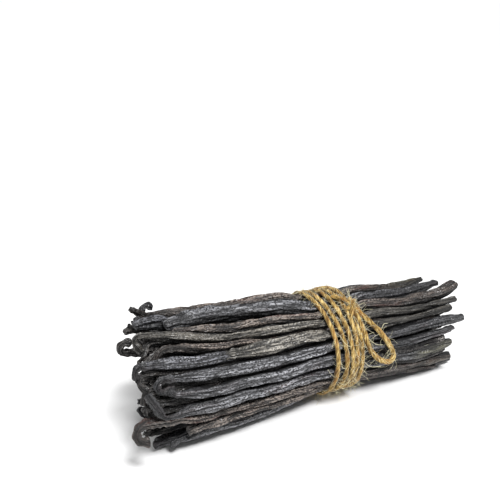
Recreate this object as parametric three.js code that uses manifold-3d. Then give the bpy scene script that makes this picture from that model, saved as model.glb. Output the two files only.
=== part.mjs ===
// A bundle of cured vanilla pods held by a jute tie, lying on its side. Millimetres, +Z up.
// The pods run along X, with their hooked stems at -X and their blossom tips at +X.
// A place along the bundle is a distance from the stem face, and a place round it is an angle
// in degrees: 0 is the front (-Y), 90 the top, 180 the back and -90 the bottom.
import * as THREE from 'three';
import { mergeVertices } from 'three/addons/utils/BufferGeometryUtils.js';
import Module from 'manifold-3d';

// Driving dimensions of the bundle.
const bundleLength = 162;
const stemRadius = 30.4;
const tipRadius = 21.6;
const flare = 1.5;
const tieAt = 84;
const tieLift = 4.65;
const liftReach = 52;
const pinchDepth = 2.7;
const pinchHalf = 10;
const pinchSlope = 10;
const settle = 0.9;
const originShift = { x: 11.35, y: 0 };

// Driving dimensions of one pod.
const podWidth = 7.4;
const podThickness = 5.8;
const slimShare = 0.92;
const slimFrom = 30;
const slimTo = 120;
const neckWidth = 2.9;
const knobWidth = 3.9;
const knobLength = 1.5;
const tipWidth = 3.2;
const tipThickness = 2.9;
const shoulderLength = 11;
const taperLength = 14;
const faceRecess = 7;
const faceTurn = 20;
const tipLiftReach = 36;
const floorPress = 0.3;

// The dark core inside the outer pods.
const coreDepth = 6.2;
const coreFrom = 15;
const coreTo = 130;
const stubReach = 6;

// The jute tie.
const twineWidth = 2.5;
const twineGap = 0.9;
const laidHeight = twineWidth / 2 + twineGap;
const crossHeight = 1.4;
const crossFade = { from: 100, to: 150 };
const turnOverlap = 1.02;
const knot = { along: 92, round: 58 };

// How finely the skins are cut into faces.
const podSides = 6;
const innerSides = 4;
const coreSides = 14;
const twineSides = 6;
const sideFill = 1.06;
const outerBendStep = 60;
const innerBendStep = 70;
const longNeck = 3;
const ringSteps = 20;
const bowSteps = 20;
const knotSteps = 5;

// Places along a pod: where its angles are given, and where its skin has sections.
const stationPlaces = [0, 40, 84, 140];
const middlePlaces = [104, 94, 74, 64, 36];
const shoulderSteps = [11, 5, 0];
const tipSteps = [0, 3, 13];
const level = [0, 0, 0, 0];
const seed = 7;

const floorBlockSize = { x: 400, y: 200, z: 50 };

const wasm = await Module();
wasm.setup();

const rad = THREE.MathUtils.degToRad;
const { clamp, lerp, smoothstep } = THREE.MathUtils;

let state = seed;
function draw(low, high) {
  state = (Math.imul(1664525, state) + 1013904223) >>> 0;
  return low + (high - low) * state / 4294967296;
}

// The bundle's outline: its radius, pinched under the tie, and the height of its middle.
function outlineRadius(s) {
  const open = tipRadius + (stemRadius - tipRadius) * Math.max(0, 1 - s / bundleLength) ** flare;
  return open - pinchDepth * (1 - smoothstep(Math.abs(s - tieAt), pinchHalf, pinchHalf + pinchSlope));
}

function middleHeight(s) {
  const away = clamp(Math.abs(s - tieAt) / liftReach, 0, 1);
  return outlineRadius(s) + tieLift * Math.cos(away * Math.PI / 2) ** 2 - settle;
}

function around(degrees) {
  return new THREE.Vector3(0, -Math.cos(rad(degrees)), Math.sin(rad(degrees)));
}

function between(values, s) {
  for (let i = 1; i < stationPlaces.length; i += 1) {
    if (s < stationPlaces[i]) {
      return lerp(values[i - 1], values[i], smoothstep(s, stationPlaces[i - 1], stationPlaces[i]));
    }
  }
  return values[values.length - 1];
}

// A stem's end: a straight neck, then a bend of so many degrees toward a side, then a tail.
function hook(straight, turn, bend, side, tail, thick = 1) {
  return { straight, turn, bend, side, tail, thick };
}

// How far the slanted stem face stands back at an angle: least low at the front.
function setBack(angle) {
  return faceRecess * (1 - Math.cos(rad(angle + faceTurn))) / 2;
}

// A pod by its angles and its sink under the outline at the four stations.
function pod(angles, from, to, width, stem, sink = level, tip = 0) {
  return {
    angles,
    sink,
    from,
    to,
    width,
    stem,
    tip,
    swing: draw(0.25, 0.8),
    wave: draw(34, 60),
    phase: draw(0, 2 * Math.PI),
    heave: draw(0.1, 0.45),
    thickness: draw(0.9, 1.1),
  };
}

// The pods that lie over the front and top, set out one by one.
const frontPods = [
  pod([104, 104, 100, 106], 0, 146, 1.0, hook(1, 190, 2.1, 92, 0.5), [2, 1, 0, 0], 2.5),
  pod([87, 94, 89, 95], 1, 148, 1.0, hook(1, 30, 4, 100, 8), level, 2.5),
  pod([80, 82, 80, 86], -8, 146, 0.95, hook(0, 95, 2, -80, 0), [0, 3.5, 4, 3], 1),
  pod([71, 75, 69, 78], 3, 153, 1.05, hook(1, 110, 2.5, -100, 1), level, 1),
  pod([66, 58, 54, 67], 0, 160, 1.05, hook(0, 70, 4, -90, 1), level, 3.5),
  pod([67, 49, 44, 51], -9, 156, 1.0, hook(1, 100, 2.4, -85, 5)),
  pod([47, 42, 38, 42], 0, 145, 0.9, hook(1, 80, 4, -90, 1), [0, 1.2, 4, 3]),
  pod([31, 33, 30, 39], 20, 151, 1.15, hook(0, 20, 8, -90, 1), [4.5, 0, 0, 0]),
  pod([38, 31, 28, 30], -8, 140, 1.1, hook(5, 105, 4, -80, 0.5, 1.2), [0, 1.2, 5, 4]),
  pod([24, 20, 17, 25], -3, 156, 1.1, hook(2, 95, 4, -80, 1, 1.2)),
  pod([10, 4, 3, 14], -2, 148, 1.1, hook(7, 80, 3.5, 90, 1, 1.1), level, 1),
  pod([-8, -10, -10, -9], 1, 145, 1.2, hook(3, 60, 6, 100, 4, 1.4)),
  pod([-17, -21, -22, -20], -6, 144, 1.0, hook(9, 185, 4.5, -85, 1.5, 1.5), [2, 0.8, 0, 0]),
  pod([-36, -33, -38, -38], 4, 150, 1.1, hook(1, 80, 3, -90, 1, 1.2), level, 1),
  pod([-53, -50, -53, -53], 5, 146, 1.0, hook(2, 12, 20, -20, 0.5, 1.2), [-1, -0.5, 0, 0]),
  pod([118, 117, 118, 119], 7, 150, 1.05, hook(0, 70, 3, -60, 0)),
];

// Two pods behind those that show only by their stems: a straight one and a crook.
const stemPods = [
  pod([125, 125, 125, 125], 2, 146, 0.95, hook(6, 5, 20, 60, 1), [3.6, 4, 5.6, 5.6]),
  pod([95, 95, 95, 95], -3, 140, 0.95, hook(3, 195, 3.4, 88, 0.5), [29, 20, 12, 12]),
];

// The outer pods that lie underneath and behind follow a rule.
const rearPods = [];
const rearCount = 11;
const rearStart = -65.4;
const rearStep = -16.4;
for (let i = 0; i < rearCount; i += 1) {
  const angle = rearStart + rearStep * i;
  const turned = [angle, angle + draw(-2, 2), angle + draw(-2, 2), angle + draw(-3, 3)];
  const side = angle + 180 + draw(-100, 100);
  const stem = hook(draw(0, 3), draw(20, 190), draw(2.4, 4), side, draw(0, 2), draw(1, 1.3));
  rearPods.push(pod(turned, setBack(angle) + draw(-5, 0), draw(143, 157), draw(0.95, 1.15), stem));
}

// The inner pods show only at the two ends. Ring, depth and count of each layer.
const innerLayers = [
  { count: 12, depth: 5.6, turn: 8 },
  { count: 7, depth: 11.2, turn: 20 },
  { count: 2, depth: 17.5, turn: 40 },
];
const innerPods = [];
for (const layer of innerLayers) {
  for (let i = 0; i < layer.count; i += 1) {
    const angle = layer.turn + 360 * i / layer.count + draw(-5, 5);
    const angles = [angle, angle, angle, angle];
    const sink = level.map(() => layer.depth + draw(-0.6, 0.6));
    const stem = hook(draw(0, 3), draw(10, 190), draw(2.4, 4), draw(-180, 180), draw(0, 2), draw(0.9, 1.3));
    const from = setBack(angle) + draw(-4, 4);
    innerPods.push(pod(angles, from, draw(138, 154), draw(0.9, 1.1), stem, sink));
  }
}

// How much slimmer a pod is toward its tip.
function waist(s) {
  return lerp(1, slimShare, smoothstep(s, slimFrom, slimTo));
}

// Half of a pod's thickness at a place, out to the ridges of its faceted skin.
function podDepth(item, s) {
  return podThickness * item.thickness * waist(s) * sideFill / 2;
}

// Where the middle of a pod lies at a place along the bundle.
function podMiddle(item, s) {
  const sway = item.swing * Math.sin(2 * Math.PI * s / item.wave + item.phase);
  const rise = item.heave * Math.sin(2 * Math.PI * s / (item.wave * 0.7) + 2 * item.phase);
  const lift = item.tip * smoothstep(s, item.to - tipLiftReach, item.to) ** 2;
  const depth = podDepth(item, s) + between(item.sink, s) + Math.abs(rise) - lift;
  const reach = outlineRadius(s) - depth;
  const out = around(between(item.angles, s) + THREE.MathUtils.radToDeg(sway / reach));
  const middle = out.clone().multiplyScalar(reach);
  middle.x = s - bundleLength / 2;
  middle.z = Math.max(middle.z + middleHeight(s), podDepth(item, s) - floorPress);
  return { middle, out };
}

// Half width and half thickness of a pod at a place along its body.
function podSize(item, s) {
  const shoulder = smoothstep(s, item.from, item.from + shoulderLength);
  const taper = smoothstep(item.to - s, 0, taperLength);
  const neck = neckWidth * item.stem.thick;
  const fullWide = podWidth * item.width * waist(s);
  const fullDeep = podThickness * item.thickness * waist(s);
  const wide = lerp(tipWidth, lerp(neck, fullWide, shoulder), taper);
  const deep = lerp(tipThickness, lerp(neck, fullDeep, shoulder), taper);
  return { wide: wide / 2, deep: deep / 2 };
}

// The sections of a pod's body at some places along the bundle, from the tip toward the stem.
function bodySections(item, places) {
  const sections = [];
  for (const s of places) {
    const { middle, out } = podMiddle(item, s);
    const ahead = podMiddle(item, s + 0.5).middle.sub(podMiddle(item, s - 0.5).middle).normalize();
    sections.push({ middle, out, ahead, ...podSize(item, s) });
  }
  return sections;
}

// The sections of a hooked stem, from the end of the body outward.
function stemSections(item, last, steps) {
  const { straight, turn, bend, side, tail, thick } = item.stem;
  const neck = neckWidth * thick / 2;
  const knob = knobWidth * (0.5 + thick / 2) / 2;
  const outward = last.ahead.clone().negate();
  const toward = around(side);
  toward.addScaledVector(outward, -toward.dot(outward)).normalize();
  const start = last.middle.clone().addScaledVector(outward, straight);
  const sections = [];
  for (let i = straight > longNeck ? 0 : 1; i <= steps; i += 1) {
    const angle = rad(turn) * i / steps;
    const middle = start.clone().addScaledVector(outward, bend * Math.sin(angle));
    middle.addScaledVector(toward, bend * (1 - Math.cos(angle)));
    const way = outward.clone().multiplyScalar(Math.cos(angle));
    way.addScaledVector(toward, Math.sin(angle));
    sections.push({ middle, ahead: way.negate(), wide: neck, deep: neck });
  }
  const end = sections[sections.length - 1];
  for (const [share, size] of [[0.6, knob], [1, knob * 0.6]]) {
    const middle = end.middle.clone().addScaledVector(end.ahead, -(tail + knobLength) * share);
    sections.push({ middle, ahead: end.ahead, wide: size, deep: size });
  }
  return sections;
}

// A closed skin over a run of sections, each turned as little as can be from the last.
function sweep(sections, sides) {
  const shape = new THREE.CylinderGeometry(1, 1, 1, sides, sections.length - 1);
  const place = shape.attributes.position;
  const frames = [];
  let normal = sections[0].out.clone();
  for (const section of sections) {
    if (section.out) {
      normal = section.out.clone();
    }
    normal.addScaledVector(section.ahead, -normal.dot(section.ahead)).normalize();
    frames.push({ normal: normal.clone(), across: normal.clone().cross(section.ahead) });
  }
  const point = new THREE.Vector3();
  for (let i = 0; i < place.count; i += 1) {
    const row = Math.round((0.5 - place.getY(i)) * (sections.length - 1));
    const { middle, wide, deep } = sections[row];
    point.copy(middle);
    point.addScaledVector(frames[row].across, -place.getX(i) * wide * sideFill);
    point.addScaledVector(frames[row].normal, place.getZ(i) * deep * sideFill);
    place.setXYZ(i, point.x, point.y, point.z);
  }
  return shape;
}

function solid(geometry) {
  const bare = geometry.clone();
  bare.deleteAttribute('normal');
  bare.deleteAttribute('uv');
  const merged = mergeVertices(bare, 1e-4);
  const vertProperties = new Float32Array(merged.attributes.position.array);
  const triVerts = new Uint32Array(merged.index.array);
  return new wasm.Manifold(new wasm.Mesh({ numProp: 3, vertProperties, triVerts }));
}

function fuse(solids) {
  let list = solids;
  while (list.length > 1) {
    const pairs = [];
    for (let i = 0; i < list.length; i += 2) {
      pairs.push(i + 1 < list.length ? list[i].add(list[i + 1]) : list[i]);
    }
    list = pairs;
  }
  return list[0];
}

// The one outer skin of a fused solid: loose scraps go, and sealed hollows are filled.
function oneBody(fused) {
  const bodies = fused.decompose();
  return bodies.reduce((best, body) => (body.numTri() > best.numTri() ? body : best));
}

function toMesh(body, name, material) {
  const { vertProperties, triVerts } = body.getMesh();
  const geometry = new THREE.BufferGeometry();
  geometry.setAttribute('position', new THREE.BufferAttribute(vertProperties, 3));
  geometry.setIndex(new THREE.BufferAttribute(triVerts, 1));
  geometry.computeVertexNormals();
  const mesh = new THREE.Mesh(geometry, material);
  mesh.name = name;
  return mesh;
}

function wholePod(item) {
  const tipPlaces = tipSteps.map((step) => item.to - step);
  const stemPlaces = shoulderSteps.map((step) => item.from + step);
  const body = bodySections(item, [...tipPlaces, ...middlePlaces, ...stemPlaces]);
  const steps = Math.max(1, Math.round(item.stem.turn / outerBendStep));
  return sweep([...body, ...stemSections(item, body[body.length - 1], steps)], podSides);
}

function stemStub(item) {
  const stemPlaces = shoulderSteps.slice(1).map((step) => item.from + step);
  const body = bodySections(item, [coreFrom + stubReach, ...stemPlaces]);
  const steps = Math.max(1, Math.round(item.stem.turn / innerBendStep));
  return sweep([...body, ...stemSections(item, body[body.length - 1], steps)], innerSides);
}

function tipStub(item) {
  const tipPlaces = tipSteps.map((step) => item.to - step);
  return sweep(bodySections(item, [...tipPlaces, coreTo - stubReach]), innerSides);
}

function core() {
  const sections = [];
  for (const s of [coreTo, ...middlePlaces, coreFrom]) {
    const middle = new THREE.Vector3(s - bundleLength / 2, 0, middleHeight(s));
    const size = outlineRadius(s) - coreDepth;
    const ahead = new THREE.Vector3(1, 0, 0);
    sections.push({ middle, ahead, out: new THREE.Vector3(0, 0, 1), wide: size, deep: size });
  }
  return sweep(sections, coreSides);
}

const podPieces = [core()];
for (const item of [...frontPods, ...rearPods]) {
  podPieces.push(wholePod(item));
}
for (const item of [...stemPods, ...innerPods]) {
  podPieces.push(stemStub(item));
  podPieces.push(tipStub(item));
}

const floorBlock = new THREE.BoxGeometry(floorBlockSize.x, floorBlockSize.y, floorBlockSize.z);
floorBlock.translate(0, 0, -floorBlockSize.z / 2);
const podBody = oneBody(fuse(podPieces.map(solid)).subtract(solid(floorBlock)));

// A place on the twine: along, round and its height over the pods' outline.
function twinePlace(s, degrees, height) {
  const place = around(degrees).multiplyScalar(outlineRadius(s) + height);
  place.x = s - bundleLength / 2;
  place.z += middleHeight(s);
  return place;
}

// A length of twine over places given as [along, round, height].
function strand(places, steps) {
  const section = [];
  for (let i = 0; i < twineSides; i += 1) {
    const angle = 2 * Math.PI * i / twineSides;
    const reach = twineWidth * sideFill / 2;
    section.push(new THREE.Vector2(reach * Math.cos(angle), reach * Math.sin(angle)));
  }
  const extrudePath = new THREE.CatmullRomCurve3(places.map((place) => twinePlace(...place)));
  return new THREE.ExtrudeGeometry(new THREE.Shape(section), { steps, extrudePath });
}

// Where the winding runs along the bundle as it goes round: four places to each turn.
const windingTurns = [
  [92, 75, 77, 78],
  [76, 79, 81.3, 82.9],
  [79.3, 81.3, 84.8, 86.5],
  [84, 85, 88, 88.9],
  [89, 89, 91, 91.4],
];

function windingPlace(degrees) {
  const places = [...windingTurns.flat(), knot.along];
  const step = Math.min((degrees - 90) / 90, places.length - 1.001);
  const first = Math.max(0, Math.floor(step));
  return lerp(places[first], places[first + 1], smoothstep(step - first, 0, 1));
}

function windingTurn(turn) {
  const places = [];
  for (let i = 0; i <= ringSteps; i += 1) {
    const degrees = knot.round + 360 * (turn + i * turnOverlap / ringSteps);
    const over = turn === 0 ? crossHeight * (1 - smoothstep(degrees, crossFade.from, crossFade.to)) : 0;
    places.push([windingPlace(degrees), degrees, laidHeight + over]);
  }
  return strand(places, ringSteps);
}

const bowRoute = [
  [92, 58, 1.6], [95, 49, 1.2], [98, 39, 0.3], [102, 25, 0], [106.4, 9, 0], [108.6, -4, 0],
  [106.4, -12, 0], [101.5, -8.5, 0], [96.8, 3, 0.2], [94.2, 17, 0.6], [93.2, 33, 1], [92, 50, 1.6],
];
const knotStrands = [
  [[88.5, 72, 1.2], [91, 62, 2.6], [94, 54, 1.2]],
  [[95, 66, 1.4], [92, 59, 3.4], [90, 48, 1.2]],
  [[90, 56, 1.2], [92.5, 57, 3.2], [95.5, 56, 1]],
];

function raised(places) {
  return places.map(([s, degrees, height]) => [s, degrees, laidHeight + height]);
}

const twinePieces = windingTurns.map((places, turn) => windingTurn(turn));
twinePieces.push(strand(raised(bowRoute), bowSteps));
for (const places of knotStrands) {
  twinePieces.push(strand(raised(places), knotSteps));
}
const twineBody = oneBody(fuse(twinePieces.map(solid)));

const podMaterial = new THREE.MeshStandardMaterial({ color: 0x3a3432, roughness: 0.5, metalness: 0 });
const twineMaterial = new THREE.MeshStandardMaterial({ color: 0xa98f60, roughness: 0.9, metalness: 0 });

const group = new THREE.Group();
group.add(toMesh(podBody, 'pods', podMaterial));
group.add(toMesh(twineBody, 'twine', twineMaterial));
group.position.set(originShift.x, originShift.y, 0);

export default group;
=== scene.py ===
# A tied bundle of cured vanilla pods, dressed over its frame. The layout works in millimetres.
import math
import bpy
import bmesh
from mathutils import Matrix, Vector


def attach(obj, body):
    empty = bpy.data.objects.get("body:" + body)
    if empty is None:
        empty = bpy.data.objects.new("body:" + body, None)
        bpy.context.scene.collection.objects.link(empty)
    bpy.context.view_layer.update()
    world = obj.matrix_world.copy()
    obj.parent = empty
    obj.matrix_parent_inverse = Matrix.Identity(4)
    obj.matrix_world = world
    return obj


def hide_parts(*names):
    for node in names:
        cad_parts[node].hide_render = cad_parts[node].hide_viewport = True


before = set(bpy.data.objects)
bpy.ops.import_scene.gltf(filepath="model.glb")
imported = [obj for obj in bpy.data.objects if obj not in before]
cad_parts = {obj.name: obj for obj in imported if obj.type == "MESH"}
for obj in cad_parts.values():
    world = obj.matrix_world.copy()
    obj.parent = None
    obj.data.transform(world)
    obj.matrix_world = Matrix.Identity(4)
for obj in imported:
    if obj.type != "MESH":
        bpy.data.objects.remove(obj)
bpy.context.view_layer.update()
mm = 0.001
fullTurn = 2 * math.pi

bundleSize = {
    "length": 162, "stemRadius": 30.4, "tipRadius": 21.6, "flare": 1.5,
    "tieAt": 84, "tieLift": 4.65, "liftReach": 52, "settle": 0.9,
    "pinchDepth": 1.1, "pinchHalf": 9, "pinchSlope": 12,
    "shiftX": 11.35, "faceRecess": 7, "faceTurn": 20,
}


def lerp(a, b, t):
    return a + (b - a) * t


def smooth(value, low, high):
    t = min(1, max(0, (value - low) / (high - low)))
    return t * t * (3 - 2 * t)


# a fixed run of random values, the same on every run
drawRule = {"state": 7, "factor": 1664525, "step": 1013904223, "range": 2 ** 32}


def draw(low, high):
    r = drawRule
    r["state"] = (r["factor"] * r["state"] + r["step"]) % r["range"]
    return low + (high - low) * r["state"] / r["range"]


# the bundle's outline and the height of its middle
def outlineRadius(s):
    b = bundleSize
    flared = max(0, 1 - s / b["length"]) ** b["flare"]
    radius = b["tipRadius"] + (b["stemRadius"] - b["tipRadius"]) * flared
    pinched = 1 - smooth(abs(s - b["tieAt"]), b["pinchHalf"], b["pinchHalf"] + b["pinchSlope"])
    return radius - b["pinchDepth"] * pinched


def middleHeight(s):
    b = bundleSize
    away = min(1, abs(s - b["tieAt"]) / b["liftReach"])
    return outlineRadius(s) + b["tieLift"] * math.cos(away * math.pi / 2) ** 2 - b["settle"]


def around(degrees):
    return Vector((0, -math.cos(math.radians(degrees)), math.sin(math.radians(degrees))))


def alongX(s):
    return s - bundleSize["length"] / 2 + bundleSize["shiftX"]


# camera, standing to the left of the bundle's front and looking down on it
cameraSize = {
    "turn": 30.2, "fall": 26.1, "distance": 393, "lens": 57.6, "sensor": 36, "clip": 0.01,
    "lookHeight": 25, "lookPixel": (316.5, 345), "frame": 500,
}


def addCamera():
    c = cameraSize
    turn, fall = math.radians(c["turn"]), math.radians(c["fall"])
    back = Vector((-math.sin(turn) * math.cos(fall), -math.cos(turn) * math.cos(fall), math.sin(fall)))
    right = Vector((math.cos(turn), -math.sin(turn), 0))
    ahead = -back
    up = right.cross(ahead)
    focal = c["lens"] / c["sensor"] * c["frame"]
    aside = math.atan((c["lookPixel"][0] - c["frame"] / 2) / focal)
    down = math.atan((c["lookPixel"][1] - c["frame"] / 2) / focal)
    # turned so that the middle of the bundle falls on the chosen pixel
    turnedRight = right * math.cos(aside) + ahead * math.sin(aside)
    ahead = ahead * math.cos(aside) - right * math.sin(aside)
    turnedUp = up * math.cos(down) - ahead * math.sin(down)
    ahead = ahead * math.cos(down) + up * math.sin(down)
    place = (Vector((bundleSize["shiftX"], 0, c["lookHeight"])) + back * c["distance"]) * mm
    cameraData = bpy.data.cameras.new("camera")
    cameraData.lens = c["lens"]
    cameraData.sensor_width = c["sensor"]
    cameraData.clip_start = c["clip"]
    camera = bpy.data.objects.new("camera", cameraData)
    turned = Matrix((turnedRight, turnedUp, -ahead)).transposed().to_4x4()
    camera.matrix_world = Matrix.Translation(place) @ turned
    bpy.context.collection.objects.link(camera)
    bpy.context.scene.camera = camera


addCamera()
print("camera placed")

# helpers for building node trees and for turning a modifier's result into a plain piece


def newTree(name, values, finish):
    # each value becomes an input of its own, and the finish is the last one
    tree = bpy.data.node_groups.new(name, "GeometryNodeTree")
    tree.interface.new_socket("Geometry", in_out="INPUT", socket_type="NodeSocketGeometry")
    for label, value in values.items():
        kind = "NodeSocketInt" if isinstance(value, int) else "NodeSocketFloat"
        tree.interface.new_socket(label, in_out="INPUT", socket_type=kind).default_value = value
    tree.interface.new_socket(finish, in_out="INPUT", socket_type="NodeSocketMaterial")
    tree.interface.new_socket("Geometry", in_out="OUTPUT", socket_type="NodeSocketGeometry")
    return tree


class Wiring:
    # adds nodes to a tree, with sockets given by name and either a value or another socket

    def __init__(self, tree):
        self.tree = tree

    def add(self, kind, settings=None, **sockets):
        node = self.tree.nodes.new(kind)
        for key, value in (settings or {}).items():
            setattr(node, key, value)
        for key, value in sockets.items():
            self.put(self.find(node, key), value)
        return node

    def get(self, kind, settings=None, **sockets):
        return self.add(kind, settings, **sockets).outputs[0]

    def find(self, node, key):
        if key[0] == "n" and key[1:].isdigit():
            return node.inputs[int(key[1:])]
        live = [socket for socket in node.inputs if socket.name.replace(" ", "") == key and socket.enabled]
        return live[0]

    def put(self, socket, value):
        if isinstance(value, bpy.types.NodeSocket):
            self.tree.links.new(value, socket)
        else:
            socket.default_value = value

    def math(self, operation, a, b=None):
        node = self.add("ShaderNodeMath", {"operation": operation}, n0=a)
        if b is not None:
            self.put(node.inputs[1], b)
        return node.outputs[0]

    def times(self, a, *others):
        for b in others:
            a = self.math("MULTIPLY", a, b)
        return a

    def plus(self, a, *others):
        for b in others:
            a = self.math("ADD", a, b)
        return a

    def minus(self, a, b):
        return self.math("SUBTRACT", a, b)

    def vector(self, operation, a, b):
        node = self.add("ShaderNodeVectorMath", {"operation": operation}, n0=a)
        self.put(node.inputs["Scale" if operation == "SCALE" else 1], b)
        return node.outputs[0]

    def join(self, x, y, z):
        return self.get("ShaderNodeCombineXYZ", X=x, Y=y, Z=z)

    def field(self, name, kind="FLOAT"):
        return self.get("GeometryNodeInputNamedAttribute", {"data_type": kind}, Name=name)

    def vectorField(self, name):
        return self.field(name, "FLOAT_VECTOR")

    def store(self, geometry, name, value, kind="FLOAT"):
        return self.get("GeometryNodeStoreNamedAttribute", {"data_type": kind, "domain": "POINT"},
                        Geometry=geometry, Name=name, Value=value)

    def noise(self, place, seed, detail, roughness=0.5):
        return self.get("ShaderNodeTexNoise", {"noise_dimensions": "4D"}, Vector=place, W=seed, Scale=1.0,
                        Detail=detail, Roughness=roughness)

    def remap(self, value, low, high, newLow=0.0, newHigh=1.0):
        node = self.add("ShaderNodeMapRange", {"interpolation_type": "SMOOTHSTEP"}, Value=value)
        for socket, amount in zip(node.inputs[1:5], (low, high, newLow, newHigh)):
            self.put(socket, amount)
        return node.outputs[0]

    def ring(self, sides, radius):
        return self.get("GeometryNodeCurvePrimitiveCircle", Resolution=sides, Radius=radius)

    def within(self, place, room):
        return self.vector("MINIMUM", self.vector("MAXIMUM", place, room[0]), room[1])

    def finish(self, shape, material):
        # every tree ends with plain geometry and its finish
        shape = self.get("GeometryNodeSetShadeSmooth", Geometry=shape)
        shape = self.get("GeometryNodeRealizeInstances", Geometry=shape)
        shape = self.get("GeometryNodeSetMaterial", Geometry=shape, Material=material)
        self.add("NodeGroupOutput", n0=shape)

    # and these for materials
    def surface(self, values):
        shader = self.tree.nodes["Principled BSDF"]
        for label, value in values.items():
            self.put(shader.inputs[label], value)

    def attribute(self, name, output="Fac"):
        return self.add("ShaderNodeAttribute", {"attribute_name": name}).outputs[output]

    def texture(self, place, stretch, scale, detail, roughness):
        stretched = self.vector("MULTIPLY", place, (1, 1, stretch))
        return self.get("ShaderNodeTexNoise", Vector=stretched, Scale=scale, Detail=detail,
                        Roughness=roughness)

    def mix(self, amount, first, second):
        node = self.add("ShaderNodeMix", {"data_type": "RGBA"})
        for socket, value in ((node.inputs[0], amount), (node.inputs[6], first), (node.inputs[7], second)):
            self.put(socket, value)
        return node.outputs[2]


def newMaterial(name):
    material = bpy.data.materials.new(name)
    material.use_nodes = True
    return material, Wiring(material.node_tree)


def guideMesh(name, lines, floats, vectors):
    # rows of points, each a dictionary, become chains of edges with point attributes
    mesh = bpy.data.meshes.new(name)
    points, edges = [], []
    for line in lines:
        for i, row in enumerate(line):
            if i:
                edges.append((len(points) - 1, len(points)))
            points.append(row["middle"] * mm)
    mesh.from_pydata(points, edges, [])
    for key in floats:
        layer = mesh.attributes.new(key, "FLOAT", "POINT")
        layer.data.foreach_set("value", [row[key] for line in lines for row in line])
    for key in vectors:
        layer = mesh.attributes.new(key, "FLOAT_VECTOR", "POINT")
        layer.data.foreach_set("vector", [value for line in lines for row in line for value in row[key]])
    return mesh


def grow(name, mesh, tree, values):
    # runs a tree on a guide and keeps its result as a plain closed mesh
    piece = bpy.data.objects.new(name, mesh)
    bpy.context.collection.objects.link(piece)
    modifier = piece.modifiers.new("grow", "NODES")
    modifier.node_group = tree
    for item in tree.interface.items_tree:
        if item.item_type == "SOCKET" and item.in_out == "INPUT" and item.name in values:
            modifier[item.identifier] = values[item.name]
    bpy.context.view_layer.update()
    evaluated = piece.evaluated_get(bpy.context.evaluated_depsgraph_get())
    finished = bpy.data.meshes.new_from_object(evaluated)
    piece.modifiers.remove(modifier)
    shell = bmesh.new()
    shell.from_mesh(finished)
    bmesh.ops.recalc_face_normals(shell, faces=shell.faces)
    shell.to_mesh(finished)
    shell.free()
    finished.name = name
    piece.data = finished
    print(name, len(finished.polygons), "faces")
    return piece


# pods: the same layout as the solid's, row by row
podSize = {
    "width": 7.4, "thickness": 5.8, "slimShare": 0.92, "slimFrom": 30, "slimTo": 120,
    "neck": 2.9, "tipWidth": 2.8, "tipThickness": 2.6, "bluntMost": 1.5,
    "shoulder": 11, "taper": 18, "tipLiftReach": 36, "floorPress": 0.3,
    "rowStep": 0.9, "least": 3.2, "ease": 7, "inset": 0.35,
    "cap": 1.2, "capLeast": 0.05, "capSteps": (0.15, 0.4), "tipReach": (9, 1), "leafReach": (28, 16),
    "squashMost": 1.35, "squashPower": 0.6, "heaveWave": 0.7, "swayReach": 3,
    "neckRows": 14, "neckFade": (0.6, 0.04),
    "sides": 48, "innerSides": 24, "innerRowStep": 1.3,
}
# neighbours in one layer share the room between them, except near their ends
roomSize = {"overlap": -0.65, "startClear": 4, "endClear": 6, "layer": 2.4}
stemSize = {
    "step": 0.55, "slim": 0.82,
    "knob": 3.9, "knobLength": 1.5, "knobFrom": 1.2, "knobTo": 0.6, "knobShare": 0.92,
    "cap": 1.2, "capLeast": 0.04, "ripple": 0.1, "rippleRate": 1.9, "wide": 1.12, "deep": 0.88,
    "neckReach": 3, "lumps": 0.35,
}
podDraws = {"swing": (0.2, 0.6), "wave": (28, 60), "phase": (0, fullTurn), "heave": (0.1, 0.35),
            "thickness": (0.9, 1.1)}
stations = (0, 40, 84, 140)
level = (0, 0, 0, 0)


def paired(values):
    # four plain values belong to the stations, and any others come as (place, value) pairs
    return values if isinstance(values[0], tuple) else tuple(zip(stations, values))


def between(pairs, s):
    for (first, before), (second, after) in zip(pairs, pairs[1:]):
        if s < second:
            return lerp(before, after, smooth(s, first, second))
    return pairs[-1][1]


def route(pairs, s):
    # a smooth line through a pod's angles, straight beyond its ends
    slopes = []
    for i in range(len(pairs)):
        (first, before), (second, after) = pairs[max(i - 1, 0)], pairs[min(i + 1, len(pairs) - 1)]
        slopes.append((after - before) / (second - first))
    if s <= pairs[0][0]:
        return pairs[0][1] + slopes[0] * (s - pairs[0][0])
    if s >= pairs[-1][0]:
        return pairs[-1][1] + slopes[-1] * (s - pairs[-1][0])
    i = next(k for k in range(1, len(pairs)) if s <= pairs[k][0])
    step = pairs[i][0] - pairs[i - 1][0]
    t = (s - pairs[i - 1][0]) / step
    bend = slopes[i - 1] * (t - 2 * t ** 2 + t ** 3) + slopes[i] * (t ** 3 - t ** 2)
    return lerp(pairs[i - 1][1], pairs[i][1], t * t * (3 - 2 * t)) + bend * step


def hook(straight, turn, bend, side, tail, thick=1):
    return {"straight": straight, "turn": turn, "bend": bend, "side": side, "tail": tail, "thick": thick}


def setBack(angle):
    return bundleSize["faceRecess"] * (1 - math.cos(math.radians(angle + bundleSize["faceTurn"]))) / 2


def drawnHook(turn, side=None, thick=(0.9, 1.3)):
    straight, bent, bend = draw(0, 3), draw(*turn), draw(2.4, 4)
    toward = draw(-180, 180) if side is None else side
    return hook(straight, bent, bend, toward, draw(0, 2), draw(*thick))


def pod(angles, start, end, width, stem, sink=level, tip=0, finish=None):
    if not isinstance(width, tuple):
        width = (width,) * len(stations)
    item = {"angles": paired(angles), "start": start, "end": end, "width": paired(width), "stem": stem,
            "sink": paired(sink), "tip": tip, "blunt": 1, "shade": ((0, 1), (160, 1)), "leaf": 0,
            "finish": finish}
    item.update({key: draw(*span) for key, span in podDraws.items()})
    return item


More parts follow.
